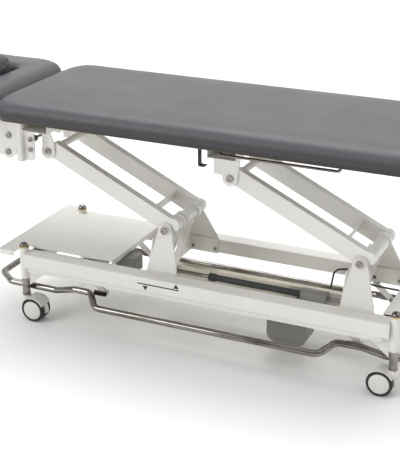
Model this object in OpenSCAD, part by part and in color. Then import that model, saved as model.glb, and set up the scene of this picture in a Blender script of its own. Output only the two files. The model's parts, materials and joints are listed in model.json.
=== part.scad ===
/* [Padded top] */
// Overall length of the padded top
top_length = 2040; // [1800:10:2200]
// Width of the main cushion
top_width = 650; // [560:10:760]
// Width of the head cushion
head_width = 636; // [540:6:700]
// Length of the head section
head_length = 447; // [400:1:520]
// Height of the top of the cushions above the floor at rest
top_height = 886; // [860:1:940]
// Thickness of the foam above the board
foam_t = 63; // [45:1:80]
// Thickness of the upholstered boards
board_t = 12; // [9:1:18]
// Gap between the head cushion and the main cushion
seam_gap = 10; // [8:1:16]
// Height of the crown in the middle of a cushion
crown = 4; // [2:0.5:8]
// Radius of the upper edge of a cushion
edge_r = 28; // [16:1:34]
// Length of the face opening
face_length = 236; // [180:2:260]
// Width of the face opening
face_width = 330; // [270:2:380]
// Height of the face plug above the head cushion
plug_proud = 50; // [10:1:70]
// Width of the face plug
plug_width = 236; // [140:2:260]

/* [Lift] */
// Length of a lift arm between its pivots
arm_length = 535; // [480:5:560]
// Angle of the lift arms above the level at rest
arm_angle = 25.6; // [15:0.1:33]
// Depth of a lift arm
arm_depth = 62; // [50:1:66]
// Width of a lift arm
arm_w = 30; // [20:1:36]
// Distance between the outer faces of the two arms of a pair
arm_span = 240; // [200:2:260]
// Outer diameter of the torsion tubes
torsion_d = 45; // [30:1:48]
// Diameter of the lift pivot bolts
pivot_d = 16; // [10:1:20]
// Radius from the lower pivot to the pin of the synchronising bar
sync_r = 262; // [254:1:330]
// Depth of the synchronising bar
sync_depth = 60; // [40:1:64]
// Thickness of the synchronising bar
sync_t = 26; // [16:1:30]
// Radius from the lower pivot to the pin of the actuator rod
drive_r = 194; // [170:1:210]
// Diameter of the actuator rod
rod_d = 16; // [10:1:20]
// Diameter of the actuator tube
tube_d = 25; // [22:1:34]

/* [Base] */
// Distance between the outer faces of the base rails
base_width = 504; // [460:2:560]
// Width of a base rail
rail_w = 65; // [50:1:70]
// Height of a base rail
rail_h = 56; // [40:1:60]
// Height of the top of the base rails above the floor
rail_top = 275; // [270:1:285]
// Distance between the head casters and the foot casters
wheelbase = 1440; // [1300:10:1500]
// Diameter of the caster sockets
socket_d = 37; // [34:1:44]
// Diameter of the chrome stems
stem_d = 30; // [24:1:32]
// Thickness of the folded pedestal sheet
sheet_t = 5; // [4:0.5:6]
// Thickness of the base cover sheet
cover_t = 4; // [2:0.5:5]

/* [Casters] */
// Diameter of the caster wheels
wheel_d = 92; // [80:1:96]
// Width of one tyre
tyre_w = 20; // [14:1:24]
// Distance from the swivel axis to the axle
trail = 38; // [30:1:42]

/* [Foot ring] */
// Diameter of the foot ring tube
ring_d = 25; // [18:1:28]
// Half of the width of the foot ring at its long bars
ring_half_w = 268; // [262:1:280]
// Length of a foot ring link between its pins
link_l = 83; // [70:1:90]

/* [Fittings] */
// Diameter of the roll bar
bar_d = 10; // [6:1:14]
// Thickness of the accessory hook
hook_t = 5; // [3:0.5:8]
// Diameter of the supply lead
lead_d = 7; // [5:0.5:9]

/* [Hidden] */
$fn = 64;

white = [0.86, 0.87, 0.86];
steel = [0.75, 0.74, 0.72];
grey = [0.5, 0.5, 0.53];
dark = [0.12, 0.12, 0.13];

fit = 0.05;
touch = 0.3;
half_l = top_length / 2;
foam_z0 = top_height - foam_t;
board_z0 = foam_z0 - board_t;
seam_x = -half_l + head_length;
main_x0 = seam_x + seam_gap;
board_in = 8;

// The lift geometry: both pairs of arms start from lower pivots on the pedestals.
lower_x = 50;
foot_dx = 732;
lower_z = 419.8;
up_x = lower_x - arm_length * cos(arm_angle);
up_z = lower_z + arm_length * sin(arm_angle);
arm_out = arm_span / 2;
arm_in = arm_out - arm_w;
arm_under = 16;
arm_over = arm_depth - arm_under;
end_r = 16;
lobe = [-17, 28];
lobe_r = 24;
lever_lean = 14.1;
sync_y = 68;
sync_x = lower_x - sync_r * sin(lever_lean);
sync_z = lower_z - sync_r * cos(lever_lean);
sync_pin_d = 16;
drive_y = -60;
drive_x = lower_x - drive_r * sin(lever_lean);
drive_z = lower_z - drive_r * cos(lever_lean) + 1;
drive_pin_d = 14;
lever_w = 26;
lever_t = 14;
fork_gap = 24;
fork_t = 8;
eye_id = drive_pin_d + 17;
eye_od = eye_id + 12;
lug_in = arm_out + 1;
lug_t = 5;

// The base frame.
base_x = 220;
caster_x = [base_x - wheelbase / 2, base_x + wheelbase / 2];
rail_out = base_width / 2;
rail_in = rail_out - rail_w;
rail_y = (rail_out + rail_in) / 2;
rail_z0 = rail_top - rail_h;
socket_z0 = 168;
socket_z1 = 292;
spigot_d = stem_d - 4;
spigot_top = 236;
stem_z0 = 97;
swivel_d = 12;
lip_t = 6;
lip_h = 17;
cross_w = 50;
cross_x = [caster_x[0] + 20, caster_x[0] + 250, caster_x[1] - 53];
cover_x = [-520, -140];
cover_z = rail_top + 6;
flap_x = -590;
flap_drop = 15;

// The pedestals lean in from the rails to the lift pivots.
skirt_y = rail_in - touch;
plate_y = rail_in + 3;
plate_top_y = 125;
lean = atan((plate_y - plate_top_y) / (lower_z + 25 - rail_top - sheet_t));
plate_v = (lower_z - rail_top - sheet_t) / cos(lean);
plate_x0 = -46;
plate_x1 = 70;
web_x = plate_x0 + 0.6;
boss_d = 34;
window_y = 95;
window_z = 340;
web_z = 385;
slot_y = [sync_y - 34, sync_y + 12];
strip_z = 252;
clevis_x = lower_x + foot_dx + plate_x0;
rear_pin_x = clevis_x - 22;

// The head section turns about a pin under the seam.
hinge_x = seam_x + 4;
hinge_z = board_z0 - 8;
hinge_d = 8;
strut_a = [-572, 647];
strut_b = [-740, 785];
strut_l = norm(strut_b - strut_a);
strut_ang = atan2(strut_b[1] - strut_a[1], strut_a[0] - strut_b[0]);
strut_d = 22;
strut_rod_d = 10;
strut_tube_l = 122;
strut_rod_in = 79;
frame_rail_y = 165;
frame_rail_w = 30;
frame_rail_h = 40;
frame_z0 = board_z0 - frame_rail_h;
crosser_z0 = frame_z0 - 36;
post_x0 = -539;
post_x1 = -511;
frame_x1 = 950;
face_x = seam_x - 139 - face_length / 2;

// The foot ring hangs from four parallel links.
ring_pivot = [[-232, 205], [752, 205]];
link_dx = 64;
link_dz = -sqrt(link_l * link_l - link_dx * link_dx);
link_y = 193;
link_t = 10;
link_w = 18;
ring_pin_d = 10;
shaft_z = ring_pivot[0][1] + link_dz;

axle_z = wheel_d / 2;
axle_d = 10;
wheel_in = 11;
hood_r = wheel_d / 2 + 4.5;
yoke_gap = 1.2;

function edge_n(a, b) = [b[1] - a[1], a[0] - b[0]] / norm(b - a);

// Rounded convex outline: circles of one radius on the corners, joined by their tangents.
module soft_poly(c, r) {
  for (p = c) translate(p) circle(r);
  polygon([for (i = [0:len(c) - 1]) let (a = c[i], b = c[(i + 1) % len(c)], n = edge_n(a, b))
    each [a + r * n, b + r * n]]);
}

module soft_rect(x0, y0, x1, y1, r) {
  soft_poly([[x0 + r, y0 + r], [x1 - r, y0 + r], [x1 - r, y1 - r], [x0 + r, y1 - r]], r);
}

// Stands a drawing of X and Z upright; its thickness runs from y0 to y1.
module upright(y0, y1) {
  translate([0, y1, 0]) rotate([90, 0, 0]) linear_extrude(y1 - y0) children();
}

// Draws along X: the drawing holds Y and Z.
module along(x0, x1) {
  translate([x0, 0, 0]) rotate([90, 0, 90]) linear_extrude(x1 - x0) children();
}

module pin_y(x, z, d, y0, y1) {
  translate([x, y1, z]) rotate([90, 0, 0]) cylinder(d = d, h = y1 - y0);
}

module both_sides() {
  children();
  mirror([0, 1, 0]) children();
}

// Swept round tube through a list of points.
function unit(v) = v / norm(v);
function path_dir(p, i, loop) = let (n = len(p))
  unit(p[loop ? (i + 1) % n : min(i + 1, n - 1)] - p[loop ? (i + n - 1) % n : max(i - 1, 0)]);
function ring_pts(c, t, r, s) = let (u = unit(cross([0, 0, 1], t)), w = cross(t, u))
  [for (k = [0:s - 1]) c + r * (cos(360 * k / s) * u + sin(360 * k / s) * w)];
module sweep(p, d, s, loop) {
  n = len(p);
  m = loop ? n : n - 1;
  pts = [for (i = [0:n - 1]) each ring_pts(p[i], path_dir(p, i, loop), d / 2, s)];
  sides = [for (i = [0:m - 1]) let (j = (i + 1) % n) for (k = [0:s - 1]) let (q = (k + 1) % s)
    each [[i * s + k, i * s + q, j * s + q], [i * s + k, j * s + q, j * s + k]]];
  caps = loop ? [] : [[for (k = [0:s - 1]) s - 1 - k], [for (k = [0:s - 1]) (n - 1) * s + k]];
  polyhedron(points = pts, faces = concat([for (f = sides) [f[2], f[1], f[0]]],
    [for (f = caps) [for (k = [0:len(f) - 1]) f[len(f) - 1 - k]]]), convexity = 6);
}
// Rounds the corners of a path with short curves.
function bend(a, b, c, r, s) = let (u = unit(a - b), v = unit(c - b), p = b + r * u, q = b + r * v)
  [for (k = [0:s]) let (t = k / s) (1 - t) * (1 - t) * p + 2 * t * (1 - t) * b + t * t * q];
function bends(c, r, s) = let (n = len(c))
  [for (i = [0:n - 1]) each bend(c[(i + n - 1) % n], c[i], c[(i + 1) % n], r, s)];
function open_bends(c, r, s) = let (n = len(c))
  concat([c[0]], [for (i = [1:n - 2]) each bend(c[i - 1], c[i], c[i + 1], r, s)], [c[n - 1]]);

// Cushion outline: a rectangle with elliptic corners, drawn in by d.
function corner(cx, cy, sx, sy, rx, ry, d, m) = let (ax = max(rx - d, 0.5), ay = max(ry - d, 0.5),
    ox = cx - sx * max(d - rx + 0.5, 0), oy = cy - sy * max(d - ry + 0.5, 0),
    a0 = sx > 0 ? (sy > 0 ? 0 : 270) : (sy > 0 ? 90 : 180))
  [for (k = [0:m]) let (t = a0 + 90 * k / m) [ox + ax * cos(t), oy + ay * sin(t)]];
function outline(x0, x1, h, q0, q1, d, m) = concat(
  corner(x1 - q1[0], h - q1[1], 1, 1, q1[0], q1[1], d, m),
  corner(x0 + q0[0], h - q0[1], -1, 1, q0[0], q0[1], d, m),
  corner(x0 + q0[0], -h + q0[1], -1, -1, q0[0], q0[1], d, m),
  corner(x1 - q1[0], -h + q1[1], 1, -1, q1[0], q1[1], d, m));
module loft(loops, z) {
  n = len(loops[0]);
  l = len(loops);
  pts = [for (j = [0:l - 1]) for (p = loops[j]) [p[0], p[1], z[j]]];
  sides = [for (j = [0:l - 2]) for (k = [0:n - 1]) let (q = (k + 1) % n)
    each [[j * n + k, (j + 1) * n + q, j * n + q], [j * n + k, (j + 1) * n + k, (j + 1) * n + q]]];
  polyhedron(points = pts, faces = concat([[for (k = [0:n - 1]) k]], sides,
    [[for (k = [0:n - 1]) (l - 1) * n + n - 1 - k]]), convexity = 4);
}
// Levels of a cushion: drawn in at the board, round at the upper edge, crowned on top.
function pad_d(r) = [6, 1.5, 0, 0, 0.14 * r, 0.42 * r, 0.8 * r, 1.2 * r, 2.6 * r, 4.6 * r, 6.6 * r];
function pad_z(z0, t, r, c) = [z0, z0 + 0.18 * (t - r), z0 + 0.45 * (t - r), z0 + t - r - c,
  z0 + t - 0.5 * r - c, z0 + t - 0.2 * r - c, z0 + t - 0.05 * r - c, z0 + t - c,
  z0 + t - 0.35 * c, z0 + t - 0.08 * c, z0 + t];
module pad(x0, x1, h, q0, q1, z0, t, r, c, m) {
  d = pad_d(r);
  loft([for (v = d) outline(x0, x1, h, q0, q1, v, m)], pad_z(z0, t, r, c));
}

module rail() {
  color(white) difference() {
    union() {
      along(cross_x[0] - 3, caster_x[1] - 14) soft_rect(rail_in, rail_z0, rail_out, rail_top, 5);
      along(caster_x[0] + 14, cross_x[0] - 3 + 1) soft_rect(rail_in + 4, rail_z0, rail_out - 4, rail_top, 5);
      along(cross_x[0] + 6, caster_x[1] - 40)
        translate([rail_out - 14, rail_z0 - lip_h]) square([lip_t, lip_h + 2]);
    }
    along(cross_x[0] + 8, caster_x[1] - 40)
      translate([rail_in + 3, rail_z0 + 3]) square([rail_w - 6, rail_h - 6]);
    for (x = caster_x) translate([x, rail_y, rail_z0 - 1]) cylinder(d = socket_d, h = rail_h + 2);
    for (p = [lower_x, lower_x + foot_dx]) for (x = [plate_x0 + 14, plate_x1 - 10])
      pin_y(p + x, rail_z0 + 18, 6, rail_in - 1, rail_in + 5);
  }
}
module rail_near() {
  mirror([0, 1, 0]) rail();
}
module rail_far() {
  rail();
}

module cross_members() {
  color(white) for (x = cross_x) difference() {
    translate([x, -rail_in, rail_z0 + 16]) cube([cross_w, 2 * rail_in, cover_z - rail_z0 - 16]);
    translate([x + 3, -rail_in - 1, rail_z0 + 19]) cube([cross_w - 6, 2 * rail_in + 2, cover_z - rail_z0 - 22]);
  }
}

module caster_sockets() {
  color(white) both_sides() for (i = [0, 1]) {
    s = i == 0 ? 1 : -1;
    difference() {
      translate([caster_x[i], rail_y, socket_z0]) cylinder(d = socket_d, h = socket_z1 - socket_z0);
      translate([caster_x[i], rail_y, socket_z0 - 1]) cylinder(d = spigot_d + 2 * fit, h = spigot_top + 2 - socket_z0);
      pin_x(caster_x[i] - s * socket_d / 2, rail_y, 205, 8, s);
    }
    translate([caster_x[i], 0, 0]) scale_x(s) upright(rail_y - 2.5, rail_y + 2.5)
      polygon([[socket_d / 2 - 2, rail_z0], [socket_d / 2 - 2, socket_z0],
        [stem_d / 2 + 2.5, socket_z0], [stem_d / 2 + 2.5, 138], [95, rail_z0 - 17], [95, rail_z0]]);
  }
}
module scale_x(s) {
  if (s > 0) children();
  else mirror([1, 0, 0]) children();
}
module pin_x(x, y, z, d, s) {
  translate([s > 0 ? x - 0.8 : x - 3.2, y, z]) rotate([0, 90, 0]) cylinder(d = d, h = 4);
}

module socket_caps() {
  color(steel) both_sides() for (x = caster_x) translate([x, rail_y, socket_z1 + 4])
    rotate_extrude() polygon(concat([[0, -4], [socket_d / 2 - 4, -4], [socket_d / 2 - 4, 0]],
      [for (k = [0:8]) let (t = 90 * k / 8) [(socket_d / 2 - 1) * cos(t), 1 + 15 * sin(t)]]));
}
module cap_rings() {
  color([0.75, 0.62, 0.3]) both_sides() for (x = caster_x) difference() {
    translate([x, rail_y, socket_z1]) cylinder(d = socket_d - 0.6, h = 4);
    translate([x, rail_y, socket_z1 - 1]) cylinder(d = socket_d - 8, h = 6);
  }
}
module caster_stems() {
  color(steel) both_sides() for (x = caster_x) translate([x, rail_y, 0]) {
    translate([0, 0, stem_z0 + 1]) cylinder(d = stem_d, h = socket_z0 - stem_z0 - 1);
    translate([0, 0, stem_z0]) cylinder(d1 = stem_d - 2, d2 = stem_d, h = 1);
    translate([0, 0, socket_z0 - 1]) cylinder(d = spigot_d, h = spigot_top + 1 - socket_z0);
    translate([0, 0, 74]) cylinder(d = swivel_d, h = stem_z0 - 73);
  }
}

// Angle at which a line from p touches a circle of radius r on c, on the side s.
function touch_angle(p, c, r, s) = let (v = p - c) atan2(v[1], v[0]) + s * acos(r / norm(v));
module leaning_plate() {
  r = 25;
  a0 = touch_angle([plate_x1, 14], [0, plate_v], r, 1);
  a1 = touch_angle([plate_x0, 14], [0, plate_v], r, -1) + 360;
  translate([0, plate_y, rail_top + sheet_t]) rotate([lean, 0, 0]) rotate([90, 0, 0])
    linear_extrude(sheet_t) polygon(concat([[plate_x0, 14], [plate_x0, -1.5], [plate_x1, -1.5], [plate_x1, 14]],
      [for (k = [0:14]) let (t = a0 + (a1 - a0) * k / 14) [r * cos(t), plate_v + r * sin(t)]]));
}
module pedestal() {
  both_sides() difference() {
    union() {
      leaning_plate();
      along(plate_x0 - 1, plate_x1 + 1) polygon([[skirt_y - 6, rail_z0], [skirt_y, rail_z0], [skirt_y, rail_top],
        [skirt_y + 12, rail_top], [skirt_y + 12, rail_top + sheet_t], [skirt_y - 6, rail_top + sheet_t]]);
      pin_y(0, lower_z, boss_d, arm_out + 0.4, 141);
    }
    pin_y(0, lower_z, pivot_d + 2 * fit, arm_out - 1, 160);
    for (x = [plate_x0 + 14, plate_x1 - 10]) pin_y(x, rail_z0 + 18, 6 + 2 * fit, rail_in - 8, rail_in + 1);
  }
}
function web_w(z) = plate_y - sheet_t / cos(lean) + 1 - max(z - rail_top - sheet_t, 0) * tan(lean);
module web(strip) {
  h = skirt_y - 5;
  difference() {
    along(web_x, web_x + sheet_t) polygon([[-h, rail_z0 + 0.5], [h, rail_z0 + 0.5], [h, rail_top + 2],
      [web_w(rail_top + sheet_t + 4), rail_top + sheet_t + 4], [web_w(web_z), web_z], [-web_w(web_z), web_z],
      [-web_w(rail_top + sheet_t + 4), rail_top + sheet_t + 4], [-h, rail_top + 2]]);
    along(plate_x0 - 1, plate_x0 + sheet_t + 1) translate([-window_y, strip ? strip_z : rail_z0 - 1])
      square([2 * window_y, window_z - (strip ? strip_z : rail_z0 - 1)]);
    if (strip) along(plate_x0 - 1, plate_x0 + sheet_t + 1) translate([slot_y[0], rail_z0 - 1])
      square([slot_y[1] - slot_y[0], strip_z - rail_z0 + 2]);
  }
}
module pedestal_head() {
  color(white) translate([lower_x, 0, 0]) union() {
    pedestal();
    web(false);
  }
}
module pedestal_foot() {
  color(white) union() {
    translate([lower_x + foot_dx, 0, 0]) pedestal();
    translate([lower_x + foot_dx, 0, 0]) web(true);
    drive_clevis();
  }
}
module pedestal_screws() {
  color(steel) both_sides() for (p = [lower_x, lower_x + foot_dx]) for (x = [plate_x0 + 14, plate_x1 - 10]) {
    pin_y(p + x, rail_z0 + 18, 6, rail_in - 7, rail_in + 4.5);
    pin_y(p + x, rail_z0 + 18, 12, rail_in - 11, rail_in - 6 - touch);
  }
}

module base_cover() {
  color(white) {
    translate([cover_x[0] - 1, -rail_in + 1, cover_z]) cube([cover_x[1] - cover_x[0] + 1, 2 * rail_in - 2, cover_t]);
    translate([cover_x[1] - cover_t, -rail_in + 1, cover_z - 14]) cube([cover_t, 2 * rail_in - 2, 15]);
    difference() {
      translate([0, 0, cover_z - flap_drop]) linear_extrude(flap_drop + cover_t)
        soft_rect(flap_x, -260, cover_x[0], 260, 14);
      translate([flap_x + cover_t, -260 + cover_t, cover_z - flap_drop - 1])
        cube([cover_x[0] - flap_x - cover_t + 1, 520 - 2 * cover_t, flap_drop + 1]);
    }
  }
}

module control_box() {
  color(grey) translate([0, 0, 206]) linear_extrude(cover_z - 206)
    soft_rect(-178, -105, -146, -20, 10);
  color(grey) translate([0, 0, 206]) linear_extrude(58) soft_rect(-170, -100, -95, -25, 12);
}

module pivot_bolt(x, z, y0, y1) {
  pin_y(x, z, pivot_d, y0, y1 + 1);
  difference() {
    pin_y(x, z, pivot_d + 10, y1 + touch, y1 + 6);
    translate([x, y1 + 10, z]) rotate([90, 0, 0]) cylinder(d = pivot_d * 0.6, h = 7, $fn = 6);
  }
}
module pivot_bolts() {
  color(steel) both_sides() for (p = [lower_x, lower_x + foot_dx]) pivot_bolt(p, lower_z, arm_in - 6, 141);
}

module drive_clevis() {
  translate([clevis_x - 5, drive_y - 20, rail_z0 + 1]) cube([6, 40, 31]);
  for (s = [-1, 1]) translate([0, drive_y + s * 13, 0]) upright(-2.5, 2.5)
    soft_poly([[rear_pin_x, drive_z], [clevis_x - 8, drive_z - 0.1], [clevis_x - 8, drive_z]], 8);
  pin_y(rear_pin_x, drive_z, 8, drive_y - 19, drive_y + 19);
}
module drive_tube() {
  color(dark) difference() {
    union() {
      translate([195, drive_y, drive_z]) rotate([0, 90, 0]) cylinder(d = tube_d, h = 370);
      translate([195, drive_y, drive_z]) rotate([0, 90, 0]) cylinder(d = tube_d + 6, h = 24);
    }
    translate([194, drive_y, drive_z]) rotate([0, 90, 0]) cylinder(d = rod_d + 2 * fit, h = 190);
  }
}
module drive_motor() {
  color(grey) difference() {
    union() {
      translate([555, drive_y, drive_z]) rotate([0, 90, 0]) cylinder(r = 26, h = 95);
      translate([0, drive_y, 0]) upright(-45, 45) soft_rect(440, 47, 590, 190, 34);
      translate([538, drive_y - 24, 150]) cube([52, 48, 70]);
      translate([645, drive_y, drive_z]) rotate([0, 90, 0]) cylinder(d = 18, h = rear_pin_x - 645);
      pin_y(rear_pin_x, drive_z, 20, drive_y - 10, drive_y + 10);
    }
    pin_y(rear_pin_x, drive_z, 8 + 2 * fit, drive_y - 12, drive_y + 12);
    translate([500, drive_y, drive_z]) rotate([0, 90, 0]) cylinder(d = tube_d, h = 65);
  }
}

inlet_x = cross_x[2] + cross_w;
module supply_inlet() {
  color(dark) {
    translate([inlet_x, 120, rail_z0 + 22]) cube([14, 34, 28]);
    translate([inlet_x + 13, 137, rail_z0 + 36]) rotate([0, 90, 0]) cylinder(d = 16, h = 10);
  }
}
// One lead from the motor along the far rail to the inlet beside the foot cross member.
lead_path = [[560, drive_y + 45 + touch, 100], [560, 10, 98], [560, 140, 100], [585, 168, 150], [600, 168, 246], [640, 180, 248],
  [700, 180, 246], [722, 176, 209], [760, 172, 206], [cross_x[2] - 20, 170, 205],
  [cross_x[2] + cross_w / 2, 160, 205], [inlet_x + 36, 150, 205], [inlet_x + 50, 137, 225],
  [inlet_x + 40, 137, rail_z0 + 36], [inlet_x + 23 + touch, 137, rail_z0 + 36]];
module supply_lead() {
  color(dark) sweep(open_bends(lead_path, 12, 3), lead_d, 8, false);
}

module link_brackets() {
  color(white) both_sides() for (p = ring_pivot) {
    difference() {
      upright(199.4, 205.4) soft_poly([[p[0], p[1] - 1], [p[0] + 12, rail_z0 - 6], [p[0] - 12, rail_z0 - 6]], 6 + touch);
      translate([p[0] - 40, 190, rail_z0 - touch]) cube([80, 30, 20]);
    }
    pin_y(p[0], p[1], ring_pin_d, link_y - link_t / 2 - 3, 200);
    pin_y(p[0], p[1], ring_pin_d + 6, link_y - link_t / 2 - 6, link_y - link_t / 2 - 0.4);
  }
}

// A lift arm drawn from its lower pivot along [s, n]; the lobe holds the torsion tube.
module arm_shape() {
  c = [[0, end_r - arm_under], [arm_length, end_r - arm_under], [arm_length - 16, arm_over - end_r],
    [lobe[0] + 2, arm_over - end_r]];
  difference() {
    union() {
      soft_poly(c, end_r);
      translate(lobe) circle(lobe_r);
    }
    circle(d = pivot_d + 2 * fit);
    translate([arm_length, 0]) circle(d = pivot_d + 2 * fit);
  }
}
// Turns [s, n] of an arm into the frame: s runs up toward the head end.
module at_arm(x) {
  translate([x, 0, lower_z]) rotate([0, arm_angle, 0]) mirror([1, 0, 0]) children();
}
module arm(x) {
  color(white) at_arm(x) difference() {
    upright(arm_in, arm_out) arm_shape();
    upright(arm_in + 5, arm_out - 5) soft_poly([[60, -6], [arm_length - 60, -6],
      [arm_length - 60, arm_over - 10], [60, arm_over - 10]], 4);
  }
}
module torsion(x) {
  color(white) {
    at_arm(x) pin_y(lobe[0], lobe[1], torsion_d, -arm_in, arm_in);
    at_arm(x) pin_y(arm_length - 20, 28, 26, -arm_in, arm_in);
    at_arm(x) upright(-arm_in, arm_in) translate([82, -8]) square([4, arm_over]);
  }
}
lobe_x = -lobe[0] * cos(arm_angle) + lobe[1] * sin(arm_angle);
lobe_z = lobe[0] * sin(arm_angle) + lobe[1] * cos(arm_angle);
module lever(px, pz, t0, t1, d) {
  a = [lobe_x, lower_z + lobe_z];
  difference() {
    upright(t0, t1) union() {
      translate(a) circle(d = torsion_d + 14);
      soft_poly([[px, pz], a, a + [-0.2, 0.6]], lever_w / 2);
    }
    pin_y(a[0], a[1], torsion_d, t0 - 1, t1 + 1);
  }
}
module sync_lever(px) {
  lever(px - lower_x, sync_z, sync_y - 24, sync_y - 24 + lever_t, sync_pin_d);
  pin_y(px - lower_x, sync_z, sync_pin_d, sync_y - 12, sync_y + sync_t + 2);
  pin_y(px - lower_x, sync_z, sync_pin_d + 8, sync_y + sync_t + 0.4, sync_y + sync_t + 5);
}
module head_arm_near() {
  mirror([0, 1, 0]) arm(lower_x);
}
module head_arm_far() {
  arm(lower_x);
}
module head_arm_tubes() {
  torsion(lower_x);
}
module head_levers() {
  color(white) translate([lower_x, 0, 0]) {
    sync_lever(sync_x);
    for (s = [-1, 1]) lever(drive_x - lower_x, drive_z - 1, drive_y + s * (fork_gap + fork_t) / 2 - fork_t / 2,
      drive_y + s * (fork_gap + fork_t) / 2 + fork_t / 2, drive_pin_d);
    pin_y(drive_x - lower_x, drive_z - 1, drive_pin_d, drive_y - fork_gap / 2 - fork_t, drive_y + fork_gap / 2 + fork_t);
  }
}
module foot_arm_near() {
  mirror([0, 1, 0]) arm(lower_x + foot_dx);
}
module foot_arm_far() {
  arm(lower_x + foot_dx);
}
module foot_arm_tubes() {
  torsion(lower_x + foot_dx);
}
module foot_lever() {
  color(white) translate([lower_x + foot_dx, 0, 0]) sync_lever(sync_x);
}

module sync_bar() {
  color([0.8, 0.78, 0.7]) difference() {
    upright(sync_y, sync_y + sync_t)
      soft_rect(sync_x - sync_depth / 2, sync_z - sync_depth / 2, sync_x + foot_dx + sync_depth / 2,
        sync_z + sync_depth / 2, 14);
    for (x = [sync_x, sync_x + foot_dx]) pin_y(x, sync_z, sync_pin_d + 2 * fit, sync_y - 1, sync_y + sync_t + 1);
  }
}
module drive_rod() {
  color(steel) difference() {
    union() {
      pin_y(drive_x, drive_z, eye_od, drive_y - 10, drive_y + 10);
      translate([drive_x + 18, drive_y, drive_z]) rotate([0, 90, 0]) cylinder(d = rod_d, h = 248 - drive_x - 18);
      translate([drive_x + 18, drive_y, drive_z]) rotate([0, 90, 0]) cylinder(d = rod_d + 5, h = 16);
    }
    pin_y(drive_x, drive_z, eye_id, drive_y - 12, drive_y + 12);
  }
}

module frame_rails() {
  color(white) both_sides() difference() {
    along(post_x0, frame_x1) soft_rect(frame_rail_y - frame_rail_w / 2, frame_z0, frame_rail_y + frame_rail_w / 2, board_z0, 4);
    along(post_x0 + 6, frame_x1 - 6) translate([frame_rail_y - frame_rail_w / 2 + 3, frame_z0 + 3])
      square([frame_rail_w - 6, frame_rail_h - 6]);
  }
}
crosser_x = [[-510, -400], [236, 345]];
module frame_crossers() {
  y = frame_rail_y + frame_rail_w / 2;
  yi = frame_rail_y - frame_rail_w / 2;
  color(white) {
    for (x = crosser_x) difference() {
      translate([x[0], -y, crosser_z0]) cube([x[1] - x[0], 2 * y, frame_z0 - crosser_z0]);
      translate([x[0] + 3, -y - 1, crosser_z0 + 3]) cube([x[1] - x[0] - 6, 2 * y + 2, frame_z0 - crosser_z0 - 6]);
    }
    for (x = [post_x0 + 2, frame_x1 - 45]) translate([x, -yi, frame_z0 + 2]) cube([40, 2 * yi, frame_rail_h - 4]);
  }
}
module lug(x) {
  r = 29;
  upright(lug_in, lug_in + lug_t) difference() {
    union() {
      translate([x, up_z]) circle(r);
      children();
    }
    translate([x, up_z]) circle(d = pivot_d + 2 * fit);
  }
}
fux = up_x + foot_dx;
module lift_lugs() {
  color(white) both_sides() {
    lug(up_x) polygon([[up_x - 24, crosser_z0], [up_x - 24, up_z - 8], [up_x, up_z - 20], [up_x + 26, up_z + 10],
      [up_x + 28, up_z + 30], [up_x + 5, crosser_z0]]);
    lug(fux) polygon([[fux - 62, crosser_z0], [fux - 62, up_z + 12], [fux - 30, up_z + 8], [fux, up_z - 20],
      [fux + 28, up_z + 5], [fux + 40, crosser_z0]]);
  }
}
bracket_y = 156;
bracket_bolts = [[-483, 701], [-484, 662]];
plate_bolts = [strut_a, [-567, 712]];
module head_brackets() {
  color(white) both_sides() {
    difference() {
      upright(bracket_y, bracket_y + 6) polygon([[post_x1 - 1, 618], [-478, 618], [-470, 630], [-470, crosser_z0 - 0.5],
        [post_x1 - 1, crosser_z0 - 0.5]]);
      for (b = bracket_bolts) pin_y(b[0], b[1], 10 + 2 * fit, bracket_y - 1, bracket_y + 8);
    }
    translate([0, 0, 615]) linear_extrude(frame_z0 - 615)
      soft_rect(post_x0, bracket_y - 4, post_x1, frame_rail_y + frame_rail_w / 2, 8);
    difference() {
      upright(172, 178) union() {
        translate(strut_a) circle(26);
        polygon([[post_x0 + 2, 640], [strut_a[0], 621.5], [strut_a[0] - 20, 631], [-668, 636], [-668, 700], [-650, 742],
          [hinge_x - 12, hinge_z - 8], [hinge_x + 14, hinge_z - 8], [post_x0 + 2, frame_z0 - 4]]);
        translate([hinge_x, hinge_z]) circle(7.5);
        polygon([[hinge_x - 7.5, hinge_z - 12], [hinge_x + 7.5, hinge_z - 12], [hinge_x + 7.5, hinge_z],
          [hinge_x - 7.5, hinge_z]]);
      }
      for (b = plate_bolts) pin_y(b[0], b[1], 12 + 2 * fit, 170, 180);
      pin_y(hinge_x, hinge_z, hinge_d + 2 * fit, 170, 180);
    }
  }
}
module frame_bolts() {
  color(steel) {
    both_sides() for (x = [up_x, fux]) pivot_bolt(x, up_z, arm_in - 6, lug_in + lug_t);
    for (b = plate_bolts) {
      pin_y(b[0], b[1], 12, -179, 179);
      both_sides() pin_y(b[0], b[1], 22, 178.3, 184);
      both_sides() pin_y(b[0], b[1], 20, 165, 171.7);
    }
    both_sides() for (b = bracket_bolts) {
      pin_y(b[0], b[1], 10, bracket_y - 4, bracket_y + 7);
      pin_y(b[0], b[1], 17, bracket_y + 6.3, bracket_y + 12);
    }
    both_sides() pin_y(hinge_x, hinge_z, hinge_d, 150, 180);
  }
}

main_q0 = [80, 123];
main_q1 = [46, 46];
module main_board() {
  color([0.25, 0.22, 0.2]) translate([0, 0, board_z0]) linear_extrude(board_t)
    polygon(outline(main_x0, half_l, top_width / 2, main_q0, main_q1, board_in, 8));
}
module main_cushion() {
  color(grey) pad(main_x0, half_l, top_width / 2, main_q0, main_q1, foam_z0, foam_t, edge_r, crown, 9);
}

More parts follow.
